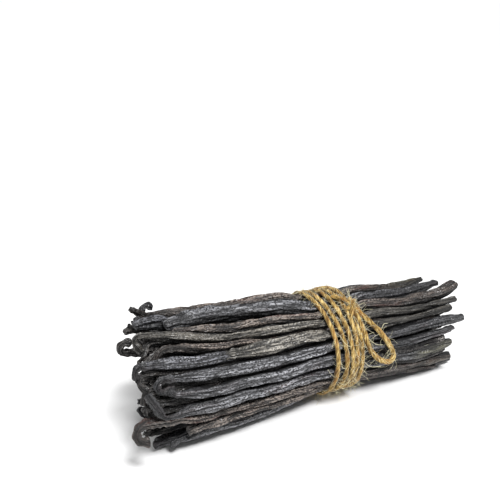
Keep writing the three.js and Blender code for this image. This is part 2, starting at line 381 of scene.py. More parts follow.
frontPods = [
    pod(((0, 107), (12, 112), (30, 124), (84, 122), (118, 114), (146, 110)), 0, 146, 1.0,
        hook(1.5, 200, 2.2, 90, 1), ((0, 0.3), (12, -0.8), (40, -0.6), (84, -0.2), (118, -2.2), (146, -1.5)),
        2, "black"),
    pod(((2, 98), (12, 101), (28, 109), (61, 110), (72, 106), (84, 100), (105, 95), (121, 103), (143, 107)),
        3, 148, 1.0, hook(4.5, 30, 5, 90, 6),
        ((0, 0), (15, -1.2), (40, -2), (84, -0.6), (118, -2.6), (140, -1.5)), 2, "brown"),
    pod(((-12, 78), (2, 86), (14, 90), (84, 86), (140, 92)), -9, 146, 0.75, hook(0, 10, 5, -90, 0, 1.55),
        ((-2, -0.6), (14, 4.5), (84, 5), (140, 3.5)), 1, "black"),
    pod(((3, 77), (23, 86), (54, 80), (74, 74), (104, 79), (129, 87), (151, 88)), 4, 153,
        (0.95, 1.05, 1.25, 1.1), hook(0, 8, 5, -90, 0, 1.9),
        ((0, -1), (20, -2.4), (50, -2.4), (84, -0.4), (118, -1.2)), 1, "grey"),
    pod(((5, 68), (30, 64), (50, 63), (66, 57), (106, 64), (124, 68), (149, 70), (161, 78)), 7, 160,
        ((0, 0.75), (30, 0.75), (56, 0.6), (84, 0.9), (140, 1.5)), hook(0, 70, 4, -90, 1),
        ((0, 2), (18, 0), (118, -0.8)), 3, "brown"),
    pod(((-14, 65), (-2, 65), (17, 56), (47, 53.5), (68, 50), (104, 50), (123, 53), (152, 57)), -10, 156,
        ((-10, 0.55), (5, 0.62), (40, 0.9), (84, 1.05)), hook(1.2, 130, 2.2, -80, 3.4), finish="olive"),
    pod((49, 46, 42, 42), 1, 145, (0.55, 0.6, 0.8, 0.8), hook(2, 85, 4.5, -90, 3, 1.1),
        ((0, 0), (30, 0.5), (46, 4.2), (140, 4)), finish="brown"),
    pod(((28, 38), (45, 38.5), (74, 33), (105, 34), (117, 38), (131, 44), (151, 46)), 28, 151,
        (1.0, 1.05, 1.1, 1.0), hook(0, 35, 5, 218, 0, 1.5), ((28, -0.5), (84, 0)), finish="olive"),
    pod(((-14, 37), (26, 35), (84, 26), (140, 34)), -11, 140, (0.75, 0.75, 1.0, 1.0),
        hook(4, 120, 2.3, -90, 1, 1.1), ((0, 0), (20, 0.5), (36, 4.5), (140, 4)), finish="black"),
    pod(((-6, 24.5), (33, 21), (75, 17), (106, 19), (128, 26), (155, 27)), -2, 156, (0.65, 0.74, 0.95, 1.1),
        hook(4, 190, 2.9, -90, 3.5), finish="grey"),
    pod(((-4, 10), (10, 6), (42, 4.5), (63, 1.5), (80, 0), (113, 7), (137, 12), (146, 18)), -1, 148,
        (0.65, 0.72, 0.95, 1.0), hook(1, 40, 3, 90, 1), level, 1, "grey"),
    pod(((-6, -10), (15, -12), (32, -10), (52, -13), (78, -19), (121, -9), (143, -4)), -4, 147,
        ((-4, 1.2), (112, 1.1), (134, 1.9)), hook(1.5, 60, 5, 90, 11, 0.72), finish="grey"),
    pod(((-6, -16), (20, -21), (32, -21), (53, -25), (77, -33), (102, -42), (118, -38), (136, -34),
         (151, -38)), -6, 150, 1.0, hook(10, 185, 4.0, -85, 0.5, 1.45), ((-6, 1.6), (20, 0.8), (84, 0)),
        finish="brown"),
    pod(((7, -36), (33, -34), (55, -42), (70, -52), (102, -57), (140, -58)), 7, 144, 1.1,
        hook(0, 15, 6, -90, 0.5, 1.7), level, 1, "brown"),
    pod(((5, -52), (33, -51), (60, -60), (84, -68), (140, -72)), 5, 146, 1.0, hook(2, 12, 20, -20, 0.5, 1.2),
        (-1, -0.5, 0, 0), finish="grey"),
    pod((134, 137, 136, 130), 7, 150, 1.05, hook(0, 70, 3, -60, 0), finish="grey"),
]
for place, blunt in ((4, 1.9), (9, 1.05), (12, 1.4), (7, 1.2), (11, 1.2)):
    frontPods[place]["blunt"] = blunt
# some pods get less of the pale bloom and sheen beyond the tie, one is darker at its start too, and the
# recessed pod between its neighbours gets painted shade along its middle
wornFrom, wornTo = 86, 104
for place, share in ((5, 0.45), (9, 0.7), (0, 0.6)):
    frontPods[place]["shade"] = ((wornFrom, 1), (wornTo, share))
frontPods[7]["shade"] = ((28, 0.4), (36, 1), (wornFrom, 1), (wornTo, 0.35))
frontPods[8]["shade"] = ((18, 1), (32, 0.12), (64, 0.12), (84, 0.6), (wornTo, 0.5))
# some tips turn olive
for place, share in ((11, 1), (0, 0.8), (1, 0.65), (12, 0.25)):
    frontPods[place]["leaf"] = share
# pods seen only where their stems stick out between the others
stemPods = [
    pod((84, 84, 84, 84), -6, 146, 0.95, hook(5.5, 10, 10, 60, 0.5, 1.15), (4, 4, 5.6, 5.6)),
    pod((75, 75, 75, 75), -9.5, 140, 0.95, hook(6, 185, 2.9, 75, 0.3, 1.3), (13, 13, 13, 13)),
    pod((52, 50, 48, 48), -2, 140, 0.8, hook(1, 50, 6, -70, 4, 1.2), (4.6, 4.6, 6, 6)),
    pod((64, 62, 60, 60), -4, 140, 0.8, hook(1, 60, 4, -60, 3, 1.3), (4, 4.6, 6, 6)),
    pod((31, 29, 28, 28), -10, 140, 0.8, hook(3, 140, 3, -60, 1.5, 1.2), (4, 5, 6, 6)),
    pod((15, 14, 14, 14), -6, 140, 0.8, hook(4, 120, 3.5, -100, 1, 1.2), (5, 5, 6, 6)),
    pod((1, 0, 0, 0), -8, 140, 0.8, hook(2, 160, 3, 200, 1, 1.1), (4.5, 4.5, 6, 6)),
    pod((-9, -10, -10, -10), -7, 140, 0.8, hook(4, 80, 4, 60, 2, 1.2), (5, 5, 6, 6)),
]

rearPods = []
rearFinishes = ("black", "grey", "brown", "black", "grey", "black", "brown", "black", "grey", "olive",
                "black")
rearSpread = {"first": -65.4, "step": -16.4}
for i, finish in enumerate(rearFinishes):
    angle = rearSpread["first"] + rearSpread["step"] * i
    turned = (angle, angle + draw(-2, 2), angle + draw(-2, 2), angle + draw(-3, 3))
    side = angle + 180 + draw(-100, 100)
    stem = drawnHook((20, 190), side, (1, 1.3))
    start = setBack(angle) + draw(-5, 0)
    end = draw(143, 157)
    rearPods.append(pod(turned, start, end, draw(0.95, 1.15), stem, finish=finish))

# rings of inner pods, each with its number of pods, its depth and its first angle
innerRings = ((12, 5.6, 8), (7, 11.2, 20), (2, 17.5, 40))
innerPods = []
for count, depth, turn in innerRings:
    for i in range(count):
        angle = turn + 360 * i / count + draw(-5, 5)
        sink = tuple(depth + draw(-0.6, 0.6) for station in stations)
        stem = drawnHook((10, 190))
        start = setBack(angle) + draw(-9, 2)
        end = draw(138, 154)
        innerPods.append(pod((angle,) * len(stations), start, end, draw(0.9, 1.1), stem, sink))
outerPods = frontPods + rearPods
# two pods of the first inner ring come up between the outer tips
for item, angles in ((innerPods[0], ((0, 8), (84, -4), (114, -2), (140, 3))),
                     (innerPods[11], ((0, -22), (84, -24), (114, -20), (140, -18)))):
    item.update(angles=angles, sink=((0, 5.6), (84, 5.6), (118, 0.5)), end=143, blunt=1.6)


def waist(s):
    return lerp(1, podSize["slimShare"], smooth(s, podSize["slimFrom"], podSize["slimTo"]))


def podHalves(item, s):
    p = podSize
    shoulder = smooth(s, item["start"], item["start"] + p["shoulder"])
    taper = smooth(item["end"] - s, 0, p["taper"])
    neck = p["neck"] * item["stem"]["thick"]
    fullWide = p["width"] * between(item["width"], s) * waist(s)
    fullDeep = p["thickness"] * item["thickness"] * waist(s)
    tipDeep = p["tipThickness"] * min(item["blunt"], p["bluntMost"])
    wide = lerp(p["tipWidth"] * item["blunt"], lerp(neck, fullWide, shoulder), taper)
    deep = lerp(tipDeep, lerp(neck, fullDeep, shoulder), taper)
    return wide / 2, deep / 2


# how much room a pod of the outer ring has beside it, and how far its middle moves to fill it
def roomBeside(item, s, reach, wide):
    r = roomSize
    own = route(item["angles"], s)
    ownSink = between(item["sink"], s)
    room = [wide, wide]
    for other in outerPods:
        if other is item or not other["start"] + r["startClear"] < s < other["end"] - r["endClear"]:
            continue
        if between(other["sink"], s) - ownSink > r["layer"]:
            continue
        away = (route(other["angles"], s) - own + 180) % 360 - 180
        gap = math.radians(abs(away)) * reach
        otherWide = podHalves(other, s)[0]
        share = gap * wide / (wide + otherWide) + r["overlap"]
        which = 0 if away > 0 else 1
        room[which] = min(room[which], share)
    return room


def roundedEnd(run, radius, least):
    # a pod's half width near its round end, as a share of the full one
    return math.sqrt(max(least, 1 - max(0, 1 - run / radius) ** 2))


def bodyRows(item, rowStep, crowded):
    p = podSize
    length = item["end"] - item["start"]
    count = max(8, round(length / rowStep))
    places = [item["end"] - length * i / count for i in range(count + 1)]
    places[1:1] = [item["end"] - step for step in p["capSteps"]]
    rooms = []
    for s in places:
        wide, deep = podHalves(item, s)
        reach = outlineRadius(s) - deep - between(item["sink"], s)
        rooms.append(roomBeside(item, s, reach, wide) if crowded else [wide, wide])
    rows = []
    for i, s in enumerate(places):
        near = rooms[max(0, i - p["ease"]):i + p["ease"] + 1]
        left = sum(room[0] for room in near) / len(near)
        right = sum(room[1] for room in near) / len(near)
        fullWide, fullDeep = podHalves(item, s)
        wide = min(fullWide, max((left + right) / 2, min(fullWide, p["least"] / 2)))
        deep = fullDeep * min(p["squashMost"], (fullWide / wide) ** p["squashPower"])
        aside = (left - right) / 2
        sway = item["swing"] * math.sin(fullTurn * s / item["wave"] + item["phase"]) + aside
        rise = item["heave"] * math.sin(fullTurn * s / (item["wave"] * p["heaveWave"]) + 2 * item["phase"])
        lift = item["tip"] * smooth(s, item["end"] - p["tipLiftReach"], item["end"]) ** 2
        reach = outlineRadius(s) - deep - p["inset"] - between(item["sink"], s) - abs(rise) + lift
        swung = math.degrees(sway / (reach if abs(reach) > p["swayReach"] else p["swayReach"]))
        out = around(route(item["angles"], s) + swung)
        middle = out * reach
        middle.x = alongX(s)
        middle.z = max(middle.z + middleHeight(s), deep - p["floorPress"])
        end = roundedEnd(item["end"] - s, p["cap"] * item["blunt"], p["capLeast"])
        tip, leaf = (smooth(s, item["end"] - far, item["end"] - near)
                     for far, near in (p["tipReach"], p["leafReach"]))
        rows.append({"middle": middle, "out": out, "wide": wide * end, "deep": deep * end, "neckShare": 0.0,
                     "tipShare": tip, "lumpShare": tip / item["blunt"] ** 2,
                     "shade": between(item["shade"], s), "leaf": item["leaf"] * leaf})
    for i, row in enumerate(rows):
        ahead = (rows[max(0, i - 1)]["middle"] - rows[min(len(rows) - 1, i + 1)]["middle"]).normalized()
        row["ahead"] = ahead
        row["out"] = (row["out"] - ahead * row["out"].dot(ahead)).normalized()
    return rows


def stemRows(item, last):
    p, z, stem = podSize, stemSize, item["stem"]
    neck = p["neck"] * stem["thick"] / 2
    knob = z["knob"] * (0.5 + stem["thick"] / 2) / 2
    outward = -last["ahead"]
    toward = around(stem["side"])
    toward = (toward - outward * toward.dot(outward)).normalized()
    bend = stem["bend"]
    arc = math.radians(stem["turn"]) * bend
    tail = stem["tail"] + z["knobLength"]
    total = stem["straight"] + arc + tail
    count = max(6, round(total / z["step"]))
    rows, normal = [], last["out"]
    for i in range(1, count + 1):
        run = total * i / count
        start = last["middle"] + outward * min(run, stem["straight"])
        angle = min(max(run - stem["straight"], 0), arc) / bend
        middle = start + outward * bend * math.sin(angle) + toward * bend * (1 - math.cos(angle))
        way = outward * math.cos(angle) + toward * math.sin(angle)
        middle = middle + way * max(0, run - stem["straight"] - arc)
        swell = smooth(run, total - tail - z["knobFrom"], total - tail + z["knobTo"])
        slim = lerp(1, z["slim"], smooth(run, 0, total - tail))
        half = lerp(neck * slim, knob * z["knobShare"], swell)
        half *= roundedEnd(total - run, z["cap"], z["capLeast"])
        half *= 1 + z["ripple"] * math.sin(run * z["rippleRate"] + item["phase"])
        middle.z = max(middle.z, half - p["floorPress"])
        normal = (normal - way * normal.dot(way)).normalized()
        lumps = z["lumps"] * smooth(run, total - tail, total)
        rows.append({"middle": middle, "out": normal, "ahead": -way, "wide": half * z["wide"],
                     "deep": half * z["deep"],
                     "neckShare": smooth(run, 0, z["neckReach"]) / max(1, stem["thick"]),
                     "tipShare": lumps, "lumpShare": lumps, "shade": 1.0, "leaf": 0.0})
    return rows


podFloats = ("along", "mark", "neckShare", "tipShare", "lumpShare", "shade", "leaf", "halfWide", "halfDeep")
podVectors = ("center", "out", "across")


def podLine(item, rowStep, crowded, mark):
    rows = bodyRows(item, rowStep, crowded)
    full, less = podSize["neckFade"]
    for i in range(1, min(podSize["neckRows"] + 1, len(rows))):
        rows[-i]["neckShare"] = max(0, full - less * i) / max(1, item["stem"]["thick"])
    rows += stemRows(item, rows[-1])
    along = 0
    for i, row in enumerate(rows):
        if not crowded:
            row["neckShare"] = max(row["neckShare"], row["tipShare"])
        if i:
            along += (row["middle"] - rows[i - 1]["middle"]).length
        row["across"] = row["out"].cross(row["ahead"])
        row["along"] = along * mm
        row["mark"] = float(mark)
        row["halfWide"] = row["wide"] * mm
        row["halfDeep"] = row["deep"] * mm
        row["center"] = row["middle"] * mm
    return rows


podShape = {
    "Squareness": 3.6, "Lobe Depth": 0.46, "Furrow Depth": 0.27, "Fold Depth": 0.19, "Knurl Depth": 0.13,
    "Wrinkle Depth": 0.11, "Neck Folds": 0.9, "Tip Lumps": 1.5, "Twist": 1.1,
}
# each pattern's scale round the pod and along it, its seed and its roughness
podPatterns = {
    "lobe": (0.9, 40, 0, 0.5), "furrow": (1.3, 26, 3, 0.45), "fold": (2.8, 55, 5, 0.45),
    "knurl": (2.4, 210, 11, 0.5), "wrinkle": (6.5, 190, 7, 0.6), "lump": (1.2, 330, 13, 0.5),
}
podSection = {
    "seedStep": 7.31, "furrowWidth": 0.1, "foldWidth": 0.09, "foldShare": 0.95, "tipCalm": 0.6,
    "fullness": 1.02, "twistAlong": 24, "twistSeed": 9, "flankShade": (0.24, 0.84), "skinRadius": 0.0032,
    "skinApart": 0.05,
}
podRoom = ((-9, -0.0309, 0.00005), (9, 0.0307, 9))  # no pod stands out past this, in metres


def podTree():
    p = podSection
    tree = newTree("podShape", {"Sides": podSize["sides"], **podShape}, "Skin")
    w = Wiring(tree)
    given = w.add("NodeGroupInput").outputs
    line = w.get("GeometryNodeMeshToCurve", Mesh=given["Geometry"])
    factor = w.add("GeometryNodeSplineParameter").outputs["Factor"]
    circle = w.store(w.ring(given["Sides"], mm), "turn", w.times(factor, fullTurn))
    skin = w.get("GeometryNodeCurveToMesh", Curve=line, ProfileCurve=circle, FillCaps=True)
    turn, along, mark, neck = (w.field(name) for name in ("turn", "along", "mark", "neckShare"))
    cosine, sine = w.math("COSINE", turn), w.math("SINE", turn)
    seed = w.times(mark, p["seedStep"])

    def pattern(name):
        ring, length, step, roughness = podPatterns[name]
        place = w.join(w.times(cosine, ring), w.times(sine, ring), w.times(along, length))
        return w.minus(w.noise(place, w.plus(seed, step), 1.0, roughness), 0.5)

    lobe, furrow, fold, knurl, wrinkle, lump = (pattern(name) for name in podPatterns)
    # sharp valleys between rounded ridges, running along the pod
    crease = w.remap(w.math("ABSOLUTE", furrow), 0.0, p["furrowWidth"], 1.0, 0.0)
    smallCrease = w.remap(w.math("ABSOLUTE", fold), 0.0, p["foldWidth"], 1.0, 0.0)
    calm = w.plus(1.0, w.times(neck, given["Neck Folds"]))
    calm = w.times(calm, w.minus(1.0, w.times(w.field("tipShare"), p["tipCalm"])))
    swell = w.times(lobe, given["Lobe Depth"])
    for relief, label, sign in ((crease, "Furrow Depth", -1.0), (smallCrease, "Fold Depth", -1.0),
                                (knurl, "Knurl Depth", 1.0), (wrinkle, "Wrinkle Depth", 1.0)):
        swell = w.plus(swell, w.times(relief, w.times(given[label], sign)))
    lump = w.times(lump, given["Tip Lumps"], w.field("lumpShare"))
    swell = w.plus(w.times(swell, calm), w.plus(lump, p["fullness"]))
    # the section turns slowly along the pod, and its flat faces with it
    twistPlace = w.join(0.0, 0.0, w.times(along, p["twistAlong"]))
    twistNoise = w.noise(twistPlace, w.plus(seed, p["twistSeed"]), 0.0)
    faced = w.plus(turn, w.times(w.minus(twistNoise, 0.5), given["Twist"]))
    power = w.plus(2.0, w.times(w.minus(given["Squareness"], 2.0), w.minus(1.0, neck)))
    sharp = w.plus(*(w.math("POWER", w.math("ABSOLUTE", w.math(wave, faced)), power)
                     for wave in ("COSINE", "SINE")))
    swell = w.times(swell, w.math("POWER", sharp, w.math("DIVIDE", -1.0, power)))
    up = w.vector("SCALE", w.vectorField("out"), w.times(cosine, w.field("halfDeep"), swell))
    side = w.vector("SCALE", w.vectorField("across"), w.times(sine, w.field("halfWide"), swell))
    place = w.vector("ADD", w.vector("ADD", w.vectorField("center"), up), side)
    # painted shade on each pod's sides and underside, away from its outward face, but not on its neck
    skin = w.store(skin, "flankShade", w.times(w.remap(cosine, *p["flankShade"], 1.0, 0.0), w.minus(1.0, neck)))
    # the creases, which the skin paints dark as shade
    skin = w.store(skin, "crease", w.math("MAXIMUM", crease, w.times(smallCrease, p["foldShare"])))
    skin = w.store(skin, "wrinkle", w.plus(wrinkle, 0.5))
    coordinate = w.join(w.plus(w.times(cosine, p["skinRadius"]), w.times(mark, p["skinApart"])),
                        w.times(sine, p["skinRadius"]), along)
    skin = w.store(skin, "skinPlace", coordinate, "FLOAT_VECTOR")
    skin = w.get("GeometryNodeSetPosition", Geometry=skin, Position=w.within(place, podRoom))
    w.finish(skin, given["Skin"])
    return tree


# the finish all pods share, with its own values in each material; a texture has a stretch, a scale,
# a detail and a roughness, and a reach is a stretch of the pod in metres from its tip
skinLook = {
    "streak": (0.16, 620, 2, 0.7), "grain": (0.36, 1150, 1, 0.6), "speck": (0.6, 1800, 0, 0.6),
    "broad": (0.35, 130, 2, 0.5), "litParts": (0.55, 0.5), "litRange": (0.4, 0.58), "unlitBloom": 0.5,
    "bloomParts": (0.4, 0.6), "bloomRange": (0.45, 0.52), "patchRange": (0.52, 0.68), "patchWorn": 0.7,
    "creaseShare": 0.98, "neckShare": 0.6, "leafColour": (0.1, 0.094, 0.048, 1), "leafWorn": 0.6,
    "dimParts": (0.45, 0.55), "dimReach": (0.03, 0.09), "tipReach": (0.015, 0.1), "stemReach": (0.09, 0.15),
    "stemShare": 0.6, "roughGrain": 0.6, "roughLeast": 0.02, "roughClosed": 0.35, "roughNeck": 0.08,
    "streakHeight": 0.5, "grainHeight": 0.8, "speckHeight": 0.7, "bump": 0.0008,
    "shine": 0.65, "innerShine": 0.2,
}
# the pale inputs carry the pods' own bloom and painted sheen together
skinInputs = {
    "Ridge Colour": "ridge", "Shade And Neck Colour": "furrow", "Patch Colour": "patch",
    "Patch Amount": "patchAmount", "Bloom And Sheen Colour": "bloom", "Bloom And Sheen Amount": "bloomAmount",
    "Neck Share": "neckShare", "Tip Share": "tipShare",
}


def skinEffect():
    look = skinLook
    tree = bpy.data.node_groups.new("podSkin", "ShaderNodeTree")
    for label in skinInputs:
        kind = "NodeSocketColor" if "Colour" in label else "NodeSocketFloat"
        tree.interface.new_socket(label, in_out="INPUT", socket_type=kind)
    for label, kind in (("Colour", "Color"), ("Roughness", "Float"), ("Height", "Float")):
        tree.interface.new_socket(label, in_out="OUTPUT", socket_type="NodeSocket" + kind)
    w = Wiring(tree)
    given = w.add("NodeGroupInput").outputs
    place = w.attribute("skinPlace", "Vector")
    crease, wrinkle, flankShade, neck, along, shade, leaf = (
        w.attribute(name) for name in ("crease", "wrinkle", "flankShade", "neckShare", "along", "shade", "leaf"))
    streak, grain, speck, broad = (
        w.texture(place, *look[name]) for name in ("streak", "grain", "speck", "broad"))

    def blend(first, second, parts):
        return w.plus(w.times(first, parts[0]), w.times(second, parts[1]))

    def without(value, share):
        return w.minus(1.0, w.times(value, share))

    lit = w.remap(blend(streak, wrinkle, look["litParts"]), *look["litRange"])
    # painted shade: creases and the sides of each pod take the near-black furrow colour, and the surface also
    # darkens towards it near the tips
    closed = w.math("MAXIMUM", w.times(crease, look["creaseShare"]), flankShade)
    dim = w.plus(w.times(given["Tip Share"], look["dimParts"][0]), look["dimParts"][1])
    bare = w.times(w.minus(1.0, closed), w.remap(along, *look["dimReach"], dim, 1.0))
    colour = w.mix(bare, given["Shade And Neck Colour"], given["Ridge Colour"])
    patch = w.times(w.remap(broad, *look["patchRange"]), w.times(given["Patch Amount"], bare))
    colour = w.mix(patch, colour, given["Patch Colour"])
    # necks take some of the same dark colour as their own darker tone
    colour = w.mix(w.times(neck, look["neckShare"]), colour, given["Shade And Neck Colour"])
    colour = w.mix(w.times(leaf, bare), colour, look["leafColour"])
    # pale specks: partly the pods' own bloom, partly painted sheen and glints
    bloom = w.remap(blend(grain, speck, look["bloomParts"]), *look["bloomRange"])
    bloom = w.times(bloom, w.remap(lit, 0.0, 1.0, look["unlitBloom"], 1.0), given["Bloom And Sheen Amount"], bare)
    # each pod's own share along its length; on the recessed pod this is painted shade
    bloom = w.times(bloom, w.times(shade, without(leaf, look["leafWorn"])))
    # necks and tips carry their own share of it
    ends = w.times(w.remap(neck, 0.0, 1.0, 1.0, given["Neck Share"]),
                   w.remap(along, *look["tipReach"], given["Tip Share"], 1.0),
                   w.remap(along, *look["stemReach"], 1.0, look["stemShare"]))
    bloom = w.times(bloom, w.times(ends, without(patch, look["patchWorn"])))
    colour = w.mix(bloom, colour, given["Bloom And Sheen Colour"])
    rough = w.plus(w.times(grain, look["roughGrain"]), look["roughLeast"])
    rough = w.plus(rough, blend(closed, neck, (look["roughClosed"], look["roughNeck"])))
    height = blend(streak, grain, (look["streakHeight"], look["grainHeight"]))
    height = w.plus(height, w.times(speck, look["speckHeight"]))
    out = w.add("NodeGroupOutput")
    for socket, value in zip(out.inputs, (colour, rough, height)):
        w.put(socket, value)
    return tree


podSkin = skinEffect()

# in each finish the furrow colour is the near-black painted shade of creases and pod sides, and also the
# necks' darker tone
podColours = {
    "grey": {"ridge": (0.036, 0.036, 0.039), "furrow": (0.001, 0.001, 0.002), "patch": (0.06, 0.018, 0.015),
             "patchAmount": 0.35, "bloom": (0.378, 0.382, 0.41), "bloomAmount": 0.95,
             "neckShare": 0.12, "tipShare": 0.28},
    "black": {"ridge": (0.018, 0.018, 0.021), "furrow": (0.001, 0.001, 0.0015), "patch": (0.05, 0.014, 0.013),
              "patchAmount": 0.3, "bloom": (0.32, 0.325, 0.36), "bloomAmount": 0.92,
              "neckShare": 0.12, "tipShare": 0.28},
    "brown": {"ridge": (0.05, 0.038, 0.033), "furrow": (0.001, 0.001, 0.001), "patch": (0.1, 0.026, 0.02),
              "patchAmount": 0.5, "bloom": (0.36, 0.305, 0.265), "bloomAmount": 0.9,
              "neckShare": 0.15, "tipShare": 0.36},
    "olive": {"ridge": (0.07, 0.064, 0.055), "furrow": (0.002, 0.002, 0.0018), "patch": (0.09, 0.075, 0.055),
              "patchAmount": 0.5, "bloom": (0.37, 0.345, 0.305), "bloomAmount": 0.92,
              "neckShare": 0.16, "tipShare": 0.3},
    "stem": {"ridge": (0.014, 0.012, 0.0115), "furrow": (0.001, 0.001, 0.001), "patch": (0.03, 0.014, 0.012),
             "patchAmount": 0.3, "bloom": (0.3, 0.265, 0.24), "bloomAmount": 0.1,
             "neckShare": 3.2, "tipShare": 1.0},
    # pods inside the bundle: a darker copy of the finish, painted shade where they show between the outer
    # pods, kept paler at their necks and tips
    "inner": {"ridge": (0.01, 0.009, 0.009), "furrow": (0.001, 0.001, 0.0015), "patch": (0.03, 0.012, 0.01),
              "patchAmount": 0.4, "bloom": (0.4, 0.375, 0.355), "bloomAmount": 0.09,
              "neckShare": 9.0, "tipShare": 1.0},
}


def podMaterial(finish):
    material, w = newMaterial("curedPod" + finish.capitalize())
    effect = w.add("ShaderNodeGroup", {"node_tree": podSkin})
    for label, key in skinInputs.items():
        value = podColours[finish][key]
        effect.inputs[label].default_value = (*value, 1) if "Colour" in label else value
    height = effect.outputs["Height"]
    w.surface({
        "Base Color": effect.outputs["Colour"], "Roughness": effect.outputs["Roughness"],
        "Normal": w.get("ShaderNodeBump", Strength=1.0, Distance=skinLook["bump"], Height=height),
        "Specular IOR Level": skinLook["innerShine" if finish == "inner" else "shine"],
    })
    return material


podShapeTree = podTree()
# each piece's pods have marks of their own, and so patterns of their own
firstMarks = {
    "podsGrey": 0, "podsBlack": 20, "podsBrown": 40, "podsOlive": 60, "podsStemEnd": 80, "podsInside": 90,
    "podsMiddle": 120,
}


def addPods(name, items, finish, crowded=False):
    inner = finish == "inner"
    rowStep = podSize["innerRowStep" if inner else "rowStep"]
    sides = podSize["innerSides" if inner else "sides"]
    lines = [podLine(item, rowStep, crowded, firstMarks[name] + i) for i, item in enumerate(items)]
    mesh = guideMesh(name, lines, podFloats, podVectors)
    piece = grow(name, mesh, podShapeTree, {**podShape, "Sides": sides, "Skin": podMaterial(finish)})
    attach(piece, "root")
    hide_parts("pods")


for finish in ("grey", "black", "brown", "olive"):
    chosen = [item for item in outerPods if item["finish"] == finish]
    addPods("pods" + finish.capitalize(), chosen, finish, True)
addPods("podsStemEnd", stemPods, "stem")
# the inside pods take the darker inner finish: painted shade
addPods("podsInside", innerPods, "inner")
print("pods made")

# the jute tie: one winding, a knot and a bow loop, each of two twisted plies
twineSize = {
    "girths": (1.0, 1.2, 1.0, 0.1),  # winding, bow, knot and loose fibres
    "laid": 0.75, "knotAlong": 92, "knotRound": 58, "stepsEachTurn": 48,
    # where along the bundle each turn lies, a quarter turn apart
    "turns": ((92, 75, 77, 78), (76, 79, 81.3, 82.9), (79.3, 81.3, 84.8, 86.5), (84, 85, 88, 88.9),
              (89, 89, 91, 91.4)),
    "wobble": 0.22, "wobbleRate": 2.3, "wobbleFrom": (60, 160),
    "crossHeight": 1.0, "crossUntil": (100, 150), "rise": 0.1, "riseRate": 3.7,
}
# each place is a distance along the bundle, an angle round it and a height off it
bowRoute = (
    (91.4, 61, 0.9), (92, 58, 1.9), (95, 49, 1.3), (98, 39, 0.4), (102, 25, 0.1), (106.4, 9, 0.2),
    (108.6, -4, 0.4), (106.4, -12, 0.5), (101.5, -8.5, 0.3), (96.8, 3, 0.3), (94.2, 17, 0.7),
    (93.2, 33, 1.1), (92, 50, 1.7), (91.2, 57, 1.2),
)
knotRoutes = (
    ((86.5, 80, 0.2), (88.5, 72, 1.4), (91, 62, 2.8), (93.6, 54, 1.6), (94.6, 49, 0.2)),
    ((96.2, 69, 0), (95, 65, 1.5), (92.2, 59, 3.5), (90.2, 50, 1.5), (89.6, 45, 0.2)),
    ((89.2, 57, 0), (90, 56.5, 1.4), (92.5, 57.5, 3.3), (95, 57, 1.2), (95.8, 56, 0)),
    ((91.5, 60, 1.8), (92.2, 63, 2.9), (92.7, 67, 3.3)),
)
# loose fibres: two at the frayed end and the longest ones that hang by the bow
looseRoutes = (
    ((92.5, 62, 2.4), (93.3, 69, 3.3), (94.8, 77, 4.6)),
    ((92.2, 62, 2.6), (92.6, 68, 3.9), (93.4, 75, 4.4)),
    ((92.6, 12, 0.4), (97, 3, 1.4), (100.5, -9, 1.2)),
    ((94.6, 22, 0.8), (98, 13, 1.6), (102.4, 10, 0.6)),
    ((91.4, -4, 0.2), (96, -14, 0.9), (101.5, -15, 1.4)),
    ((103, 26, 0.2), (104.6, 32, 1.4), (107.6, 33, 0.6)),
    ((85, 14, 0.2), (81.6, 20, 1.3), (80.4, 28, 0.7)),
    ((82.6, -10, 0.2), (79.6, -6, 1.4), (78.8, 2, 0.6)),
)


def twinePlace(s, degrees, height):
    place = around(degrees) * (outlineRadius(s) + height)
    place.x = alongX(s)
    place.z += middleHeight(s)
    return place


def windingRoute():
    t = twineSize
    flat = [place for turn in t["turns"] for place in turn] + [t["knotAlong"]]
    steps = t["stepsEachTurn"] * len(t["turns"])
    quarter, last = 90, len(flat) - 1.001
    phases = [draw(0, 6.28) for phase in range(3)]
    route = []
    for i in range(steps + 1):
        degrees = t["knotRound"] + 360 * i / t["stepsEachTurn"]
        step = min((degrees - quarter) / quarter, last)
        first = max(0, int(math.floor(step)))
        s = lerp(flat[first], flat[first + 1], smooth(step - first, 0, 1))
        wave = math.sin(math.radians(degrees) * t["wobbleRate"] + phases[0])
        s += t["wobble"] * wave * smooth(degrees, *t["wobbleFrom"])
        over = t["crossHeight"] * (1 - smooth(degrees, *t["crossUntil"]))
        over += t["rise"] * math.sin(math.radians(degrees) * t["riseRate"] + phases[1])
        route.append(twinePlace(s, degrees, t["laid"] + over))
    return route


def smoothRoute(places, steps=8):
    # a smooth line through a few places on the bundle
    points = [twinePlace(s, degrees, twineSize["laid"] + height) for s, degrees, height in places]
    points = [points[0] * 2 - points[1]] + points + [points[-1] * 2 - points[-2]]
    route = []
    for i in range(1, len(points) - 2):
        a, b, c, d = points[i - 1:i + 3]
        for k in range(steps):
            t = k / steps
            route.append(0.5 * (2 * b + (c - a) * t + (2 * a - 5 * b + 4 * c - d) * t ** 2
                                + (3 * b - a - 3 * c + d) * t ** 3))
    return route + [points[-2]]


twineShape = {
    "Row Step": 0.00036, "Ply Radius": 0.00094, "Ply Offset": 0.00013, "Pitch": 0.017, "Sides": 14,
    "Fibre Depth": 0.0011, "Hair Density": 140000.0, "Hair Length": 0.0036, "Hair Radius": 0.000045,
    "Seed": 3,
}
twineFibres = {
    "endReach": 0.02, "endShare": 0.6, "wind": 330, "radius": 0.0007, "apart": 0.01,
    "scale": (2100, 2100, 200), "seed": 1.7,
    "hairPoints": 4, "hairSides": 3, "hairMiddle": 0.6, "hairAside": 0.7, "hairSize": (0.35, 1.4),
    "hairTilt": ((-0.9, -0.9, 0), (0.9, 0.9, 6.28)),
}
twineRoom = ((-9, -0.0306, 0.0002), (9, 0.0305, 0.066))  # no fibre stands out past this, in metres


